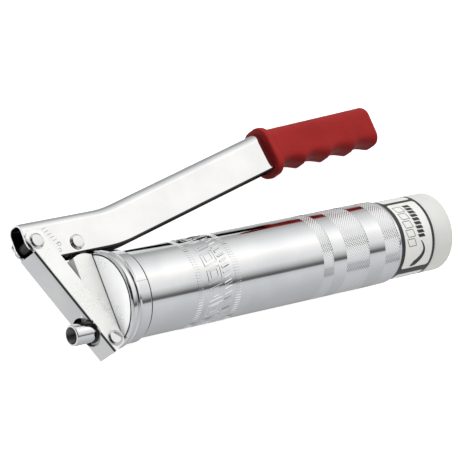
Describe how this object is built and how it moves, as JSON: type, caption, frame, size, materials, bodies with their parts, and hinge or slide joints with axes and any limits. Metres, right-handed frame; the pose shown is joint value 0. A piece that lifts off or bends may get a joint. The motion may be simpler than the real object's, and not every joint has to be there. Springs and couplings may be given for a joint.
{
  "type": "grease gun",
  "caption": "Lever-type hand grease gun: chromed barrel around a screw-in cartridge, folded link, channel lever with a moulded finger grip, and a short threaded outlet.",
  "frame": {"origin": "centre of the cartridge's flat rear face", "axes": "+X along the barrel's axis towards the pump head and the outlet; the lever works in the XY plane on the -Y side; +Z across the lever, up as the gun lies on its side"},
  "size_m": [0.3362, 0.1334, 0.0652],
  "materials": {
    "chrome": "polished plating",
    "steel": "bright",
    "brass": "machined",
    "red_grip": "satin moulded vinyl",
    "black_rubber": "matt",
    "white_plastic": "satin",
    "label_film": "printed film"
  },
  "bodies": {
    "gun_body": {"pump_head": "chrome", "collar_ring": "chrome", "head_gasket": "black_rubber", "barrel_tube": "chrome", "outlet_nozzle": "chrome", "outlet_washer": "black_rubber", "valve_seat": "brass", "spring_retainer": "brass", "valve_spring": "steel", "plunger_seal": "black_rubber", "link_head_rivet": "steel"},
    "link": {"front_link": "chrome", "lever_link_rivet": "steel"},
    "hand_lever": {"lever": "chrome", "lever_grip": "red_grip", "lever_plunger_rivet": "steel", "pivot_sleeve": "steel"},
    "pump_plunger": {"plunger": "steel"},
    "cartridge": {"cartridge_body": "white_plastic", "cartridge_label": "label_film", "cartridge_base": "white_plastic"},
    "follower": {"cartridge_piston": "white_plastic"},
    "check_ball": {"valve_ball": "steel"}
  },
  "joints": [
    {"name": "link_swing", "type": "hinge", "parent": "gun_body", "child": "link", "pos_m": [0.2978, 0.0279, 0], "axis": [0, 0, 1], "range_deg": [-7, 0]},
    {"name": "lever_swing", "type": "hinge", "parent": "link", "child": "hand_lever", "pos_m": [0.3293, -0.0451, 0], "axis": [0, 0, 1], "range_deg": [0, 60]},
    {"name": "plunger_slide", "type": "slide", "parent": "gun_body", "child": "pump_plunger", "axis": [0, -1, 0], "range_m": [0, 0.032]},
    {"name": "cartridge_withdrawal", "type": "slide", "parent": "gun_body", "child": "cartridge", "axis": [-1, 0, 0], "range_m": [0, 0.27]},
    {"name": "piston_travel", "type": "slide", "parent": "cartridge", "child": "follower", "axis": [1, 0, 0], "range_m": [0, 0.225]},
    {"name": "valve_lift", "type": "slide", "parent": "gun_body", "child": "check_ball", "axis": [1, 0, 0], "range_m": [0, 0.001], "stiffness_N_per_m": 200, "springref_m": -0.0005, "deforming": ["valve_spring"]}
  ],
  "couplings": [
    {"joint": "link_swing", "follows": "lever_swing", "ratio": -0.11},
    {"joint": "plunger_slide", "follows": "lever_swing", "m_per_rad": 0.03005}
  ]
}
